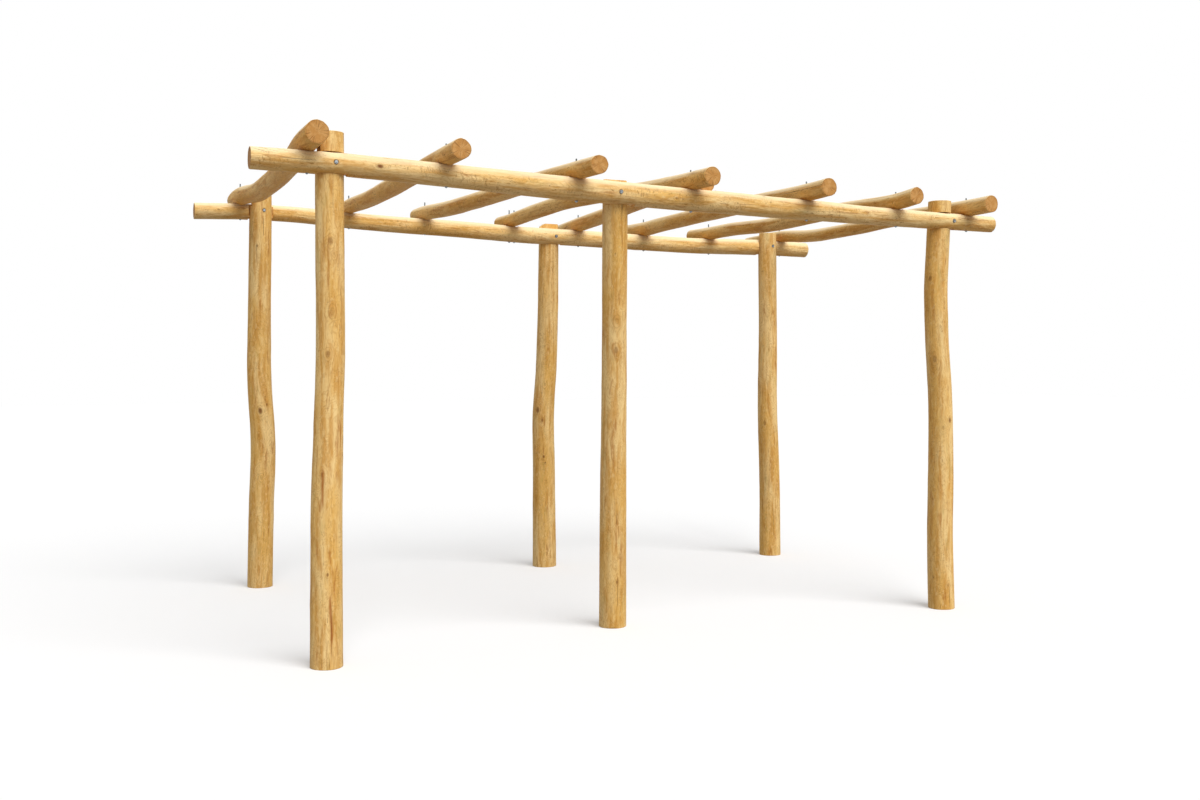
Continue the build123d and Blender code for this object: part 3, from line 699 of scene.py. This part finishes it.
    def build(self):
        """Makes the log's mesh and puts it in place of the frame's log."""
        centres, side = self.peeled_side()
        rings, columns = side["place"].shape[:2]
        after = [(j + 1) % columns for j in range(columns)]
        faces = []
        for i in range(0, (rings - 1) * columns, columns):
            faces += [(i + j, i + k, i + columns + k, i + columns + j) for j, k in enumerate(after)]
        side_faces = len(faces)
        rows = {title: [grid.reshape(-1, 3)] for title, grid in side.items()}
        count = rings * columns
        for last, ring in ((False, 0), (True, rings - 1)):
            end = self.sawn_end(side["place"][ring], side["grain"][ring], centres[ring], last)
            for title, grid in end.items():
                rows[title].append(grid)
            outer = ring * columns
            for inner in range(count, count + len(END_SHARES) * columns, columns):
                band = [(outer + j, outer + k, inner + k, inner + j) for j, k in enumerate(after)]
                faces += band if last else [quad[::-1] for quad in band]
                outer = inner
            pith = outer + columns
            fan = [(outer + j, outer + k, pith) for j, k in enumerate(after)]
            faces += fan if last else [corner[::-1] for corner in fan]
            count = pith + 1

        mesh = bpy.data.meshes.new(self.name + "_wood")
        mesh.from_pydata(np.concatenate(rows.pop("place")).tolist(), [], faces)
        for title, grids in rows.items():
            layer = mesh.attributes.new(title, "FLOAT_VECTOR", "POINT")
            layer.data.foreach_set("vector", np.concatenate(grids).astype(np.float32).ravel())
        for material in WOODS[self.wood]:
            mesh.materials.append(material)
        mesh.shade_smooth()
        mesh.update()
        sawn = np.zeros(len(mesh.polygons), np.int32)
        sawn[side_faces:] = 1
        mesh.polygons.foreach_set("material_index", sawn)
        mesh.set_sharp_from_angle(angle=radians(38))
        place_piece(mesh, self.name)


def place_piece(mesh, node):
    """Puts a piece where it belongs, in place of a node of the frame."""
    piece = bpy.data.objects.new(mesh.name, mesh)
    bpy.context.scene.collection.objects.link(piece)
    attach(piece, "root")
    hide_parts(node)


def knot(at, turn, size=22, dark=0.6, rise=2.5, core=0.36):
    """A knot: metres from the log's low end, degrees round it, its size and rise in
    millimetres, how dark it is, and its core as a share of its size."""
    return {"at": at, "turn": turn, "size": size * MM, "rise": rise * MM, "core": core, "dark": dark}


def check(low, high, turn, width=1.5, depth=4, lean=0):
    """A drying check between two places in metres; width to each side and depth in
    millimetres, and lean the degrees that it turns round the log over a metre."""
    return {"from": low, "to": high, "turn": turn, "width": width * MM, "depth": depth * MM,
            "lean": lean}


def streak(low, high, turn, width=5, dark=0.5):
    """A stained streak between two places in metres; width to each side in millimetres."""
    return {"from": low, "to": high, "turn": turn, "width": width * MM, "dark": dark}


def scattered_knots(seed, length, count):
    """Faint knots of a log's own, spread along it."""
    chance = np.random.default_rng(seed)
    return [knot(length * (index + chance.uniform(0.2, 0.8)) / count, chance.uniform(-180, 180),
                 chance.uniform(14, 24), chance.uniform(0.3, 0.75), chance.uniform(1, 2.6),
                 chance.uniform(0.25, 0.42)) for index in range(count)]


# What shows on each post: its knots, drying checks and stained streaks
POST_MARKS = {
    "front_left_post": (
        [knot(1.89, -99, 30, 0.75, 3, 0.4), knot(1.39, -112, 30, 0.7, 3, 0.36),
         knot(1.58, -96, 30, 0.1, 2), knot(0.42, -97, 16, 0.8), knot(0.86, -122, 20, 0.6)],
        [check(2.0, 2.18, -88, 1.3, 2.5), check(0.02, 0.30, -84, 1.1, 2.5), check(0, 0.06, -118),
         check(0, 0.06, -92)],
        [streak(0, 0.43, -84, 8, 0.8), streak(0.80, 1.16, -66, 8, 0.75),
         streak(0.68, 0.98, -120, 10, 0.7), streak(0, 0.18, -138, 8, 0.7),
         streak(0.45, 0.62, -138, 6, 0.6), streak(1.15, 1.4, -56, 8, 0.5)]),
    "front_middle_post": (
        [knot(1.42, -107, 32, 0.7, 4, 0.4), knot(1.56, -104, 30, 0.1), knot(0.24, -98, 18, 0.9),
         knot(0.33, -104, 16, 0.15), knot(1.2, -88, 20, 0.2)],
        [check(2.02, 2.2, -84), check(2.08, 2.2, -80, 1.0), check(0.53, 0.62, -98, 1.6),
         check(0.1, 0.3, -94, 1.0)],
        [streak(0.55, 0.9, -108, 7, 0.3), streak(1.5, 1.9, -96, 6, 0.25)]),
    "front_right_post": (
        [knot(1.825, -158, 28, 0.85, 3, 0.42), knot(1.38, -145, 36, 0.8, 4, 0.4),
         knot(1.04, -82, 24, 0.95, 3, 0.42), knot(1.0, -116, 20, 0.7), knot(0.175, -160, 12, 0.85),
         knot(1.56, -108, 10, 0.8)],
        [check(0, 0.14, -88), check(0, 0.03, -134)],
        [streak(0.3, 0.62, -172, 7, 0.5), streak(0.02, 0.2, -100, 5, 0.4),
         streak(1.5, 1.75, -165, 5, 0.35)]),
    "back_left_post": (
        [knot(2.06, -115, 15, 0.95), knot(1.07, -104, 32, 0.95, 4, 0.42), knot(1.11, -70, 16, 0.8),
         knot(0.67, -104, 26, 0.3)],
        [check(2.1, 2.26, -84), check(1.95, 2.1, -118, 1.2)],
        [streak(0.5, 0.66, -110, 9, 0.35), streak(0.9, 1.02, -108, 8, 0.3)]),
    "back_middle_post": (
        [knot(1.05, -142, 32, 0.95, 4, 0.45), knot(0.98, -116, 22, 0.9, 3, 0.42),
         knot(0.74, -110, 18, 0.95), knot(0.70, -104, 12, 0.9), knot(0.58, -98, 10, 0.8),
         knot(1.22, -112, 24, 0.3)],
        [check(0.1, 0.4, -112, 1.2, 3)],
        [streak(1.35, 1.55, -160, 6, 0.55), streak(0.3, 0.6, -92, 6, 0.3)]),
    "back_right_post": (
        [knot(2.02, -152, 15, 0.9), knot(0.94, -140, 32, 0.95, 4, 0.42), knot(1.49, -150, 11, 0.9),
         knot(1.75, -114, 28, 0.2)],
        [check(0.1, 0.35, -100, 1.2, 3)],
        [streak(1.12, 1.32, -88, 7, 0.5), streak(0.45, 0.66, -108, 6, 0.45),
         streak(0.75, 0.92, -141, 8, 0.5), streak(0.5, 0.62, -165, 5, 0.5)]),
}
# The front beam's split knot, the long crack at its torn sliver and the cracks near its left
# end, and one crack of the back beam
BEAM_MARKS = {
    "front_beam": (
        [knot(0.562, 178, 22, 0.95, 2, 0.45), knot(2.05, 185, 20, 0.6), knot(3.2, 170, 20, 0.6)],
        [check(0.57, 0.80, 122, 2.2, 4, -40), check(0.02, 0.13, 112, 3, 3, 380),
         check(0.0, 0.09, 128, 3, 3, 380), check(0.07, 0.2, 108, 2.5, 3, 300),
         check(0.12, 0.3, 178, 1.6, 3)],
        [streak(0.02, 0.3, 168, 5, 0.4), streak(1.2, 1.9, 200, 8, 0.3)]),
    "back_beam": ([], [check(0.9, 1.1, 130, 1.6)], [streak(0.1, 0.5, 190, 8, 0.35)]),
}
RAFTERS = 8


def place_logs():
    """Every log, with the marks that show on it and a few more knots of its own."""
    for seed, (name, (knots, *others)) in enumerate(POST_MARKS.items(), 1):
        Log(name, 2, "post_log", seed, (knots + scattered_knots(seed, 2.2, 4), *others))
    for seed, (name, (knots, *others)) in enumerate(BEAM_MARKS.items(), 7):
        Log(name, 0, "beam_log", seed, (knots + scattered_knots(seed, 4.1, 12), *others))
    for index in range(1, RAFTERS + 1):
        marks = (scattered_knots(20 + index, 2.5, 8), [check(0, 0.5, 40 + 40 * index, 1.3)],
                 [streak(0.6, 1.2, -100 + 10 * index, 8, 0.45),
                  streak(1.5, 2.2, -70 - 8 * index, 8, 0.45)])
        Log(f"rafter_{index}", 1, "rafter_log", 8 + index, marks, RAFTER_RING, RAFTER_COLUMN)


place_logs()


# ================================================================ fixings' shapes
BOLT_PITCH, ROD_PITCH = 1.5 * MM, 1.25 * MM
ROD_THREAD = 32 * MM       # of thread drawn at the top of a rod; the rest is hidden in the wood
BOLT_SIDES, ROD_SIDES, WASHER_SIDES, HEXAGON_SIDES = 24, 20, 40, 24


def skin(made, rings):
    """Joins rings of points into a closed solid."""
    sides = len(rings[0])
    for low, high in zip(rings, rings[1:]):
        for j in range(sides):
            k = (j + 1) % sides
            made.faces.new((low[j], low[k], high[k], high[j]))
    made.faces.new(rings[0][::-1])
    made.faces.new(rings[-1])


def revolve(made, outline, sides, place):
    """Adds a closed round solid to a mesh; place turns (along, u, v) into a point."""
    turns = [2 * pi * step / sides for step in range(sides)]
    skin(made, [[made.verts.new(place(along, radius * cos(t), radius * sin(t))) for t in turns]
                for along, radius in outline])


def hexagon(made, start, end, width, place):
    """Adds a six-sided head or nut, with its corners turned off at both ends."""
    flat = width / 2
    drop = (flat / cos(pi / 6) - flat) * 0.55
    turns = [2 * pi * step / HEXAGON_SIDES for step in range(HEXAGON_SIDES)]
    sides = [flat / cos((t + pi / 6) % (pi / 3) - pi / 6) for t in turns]
    rounded = [min(radius, flat * 0.98) for radius in sides]
    levels = [(start, rounded), (start + drop, sides), (end - drop, sides), (end, rounded)]
    skin(made, [[made.verts.new(place(along, radius * cos(t), radius * sin(t)))
                 for t, radius in zip(turns, radii)] for along, radii in levels])


def threaded(start, end, radius, pitch):
    """Outline of a threaded length, ridge by ridge, with a chamfered tip."""
    outline, along = [], start
    while along < end - pitch:
        outline += [(along, radius), (along + pitch * 0.5, radius - 0.55 * pitch)]
        along += pitch
    return outline + [(end - 0.4 * pitch, radius - 0.2 * pitch), (end, radius - 0.9 * pitch)]


def washer(made, start, end, radius, place):
    """Adds a round washer with its edges broken."""
    edge = (end - start) * 0.25
    revolve(made, [(start, radius - edge), (start + edge, radius), (end - edge, radius),
                   (end, radius - edge)], WASHER_SIDES, place)


def draw_bolt(made, bolt):
    """Adds a bolt: head and washer in front, washer, nut and thread at the back."""
    def place(along, u, v):
        return (bolt["x"] + u, along, bolt["z"] + v)

    head, nut = bolt["front"] - WASHER_THICK, bolt["back"] + WASHER_THICK
    top = nut + NUT_HEIGHT
    hexagon(made, bolt["start"], head, BOLT_WIDTH, place)
    washer(made, head, bolt["front"], WASHER_RADIUS, place)
    shank = [(bolt["front"] - MM, BOLT_RADIUS), (top, BOLT_RADIUS)]
    thread = threaded(top + 0.2 * MM, bolt["end"], BOLT_RADIUS, BOLT_PITCH)
    revolve(made, shank + thread, BOLT_SIDES, place)
    washer(made, bolt["back"], nut, WASHER_RADIUS, place)
    hexagon(made, nut, top, BOLT_WIDTH, place)


def draw_rod(made, rod):
    """Adds a threaded rod with its nut and washer underneath."""
    def place(along, u, v):
        return (rod["x"] + u, rod["y"] + v, along)

    nut, bottom = rod["face"] - ROD_WASHER, rod["bottom"]
    tip = threaded(rod["top"] - ROD_THREAD, rod["top"], ROD_RADIUS, ROD_PITCH)
    low_tip = [(2 * bottom + ROD_BELOW - along, radius) for along, radius in
               threaded(bottom, bottom + ROD_BELOW, ROD_RADIUS, ROD_PITCH)]
    revolve(made, low_tip[::-1] + tip, ROD_SIDES, place)
    hexagon(made, nut - ROD_NUT, nut, ROD_WIDTH, place)
    washer(made, nut, rod["face"], ROD_WASHER_RADIUS, place)


def place_fixings(found, draw):
    """One piece for each node of bolts or rods, with every one of them that the node holds."""
    for node in sorted({one["node"] for one in found}):
        made = bmesh.new()
        for one in found:
            if one["node"] == node:
                draw(made, one)
        bmesh.ops.recalc_face_normals(made, faces=made.faces)
        mesh = bpy.data.meshes.new(node + "_steel")
        made.to_mesh(mesh)
        made.free()
        mesh.shade_smooth()
        mesh.set_sharp_from_angle(angle=radians(30))
        mesh.materials.append(STEEL)
        place_piece(mesh, node)


place_fixings(BOLTS, draw_bolt)
place_fixings(RODS, draw_rod)


# ================================================================ studio
WHITE = 1.0                # what the camera sees of the world
FLOOR_HALF = 40            # metres


def seen_plainly(tree):
    """1 for what the camera, a mirror or glass sees, and 0 for light that falls on the object."""
    paths = add(tree, "LightPath")
    seen = add(tree, "Math", {0: paths["Is Camera Ray"], 1: paths["Is Glossy Ray"]}, operation="ADD")
    return add(tree, "Math", {0: seen[0], 1: paths["Is Transmission Ray"]}, operation="ADD",
               use_clamp=True)[0]


def pale_floor():
    """A pale paper sweep that keeps the object's shadow and shows white elsewhere."""
    material, tree = new_material("pale_paper_sweep")
    seen = seen_plainly(tree)
    # the paper is duller to the light that falls on the object than to the eye
    paper = add(tree, "Mix", {0: seen, 6: linear("#A2A2A2"), 7: linear("#DEDEDE")}, data_type="RGBA")
    lift = add(tree, "Math", {0: seen, 1: 0.2}, operation="MULTIPLY")
    both = add(tree, "AddShader", {0: add(tree, "BsdfDiffuse", {"Color": paper[2]})[0],
                                   1: add(tree, "Emission", {"Strength": lift[0]})[0]})
    add(tree, "OutputMaterial", {"Surface": both[0]})
    corners = [(-1, -1), (1, -1), (1, 1), (-1, 1)]
    mesh = bpy.data.meshes.new("floor")
    mesh.from_pydata([(x * FLOOR_HALF, y * FLOOR_HALF, 0) for x, y in corners], [], [(0, 1, 2, 3)])
    mesh.materials.append(material)
    floor = bpy.data.objects.new("floor", mesh)
    bpy.context.scene.collection.objects.link(floor)


def key_lamp(strength, spread, turn, height):
    """A far soft lamp; turn is its compass place from -Y towards +X, and height its elevation."""
    data = bpy.data.lights.new("key", "SUN")
    data.energy, data.angle = strength, radians(spread)
    made = bpy.data.objects.new("key", data)
    bpy.context.scene.collection.objects.link(made)
    turn, height = radians(turn), radians(height)
    towards = Vector((sin(turn) * cos(height), -cos(turn) * cos(height), sin(height)))
    made.rotation_mode = "QUATERNION"
    made.rotation_quaternion = towards.to_track_quat("Z", "Y")


def white_room():
    """A world that shows white and lights the object at a plain level."""
    world = bpy.data.worlds.new("studio")
    world.use_nodes = True
    tree = world.node_tree
    tree.nodes.clear()
    level = add(tree, "MapRange", {"Value": seen_plainly(tree), "To Min": 0.42, "To Max": WHITE})
    sky = add(tree, "Background", {"Color": linear("#FFFFFF"), "Strength": level[0]})
    add(tree, "OutputWorld", {"Surface": sky[0]})
    bpy.context.scene.world = world


def eye():
    """The camera: eye height, in front of the pergola and to its left, looking level."""
    camera = bpy.data.objects.new("camera", bpy.data.cameras.new("camera"))
    camera.location = (-2.9145, -6.6649, 1.33)
    camera.rotation_euler = (radians(90), 0, radians(-24.1))
    camera.data.lens, camera.data.sensor_width = 36.9, 36
    camera.data.shift_y = -0.0267
    bpy.context.scene.collection.objects.link(camera)
    bpy.context.scene.camera = camera


pale_floor()
key_lamp(2.9, 48, 12, 49)
white_room()
eye()
bpy.context.scene.view_settings.view_transform = "Standard"
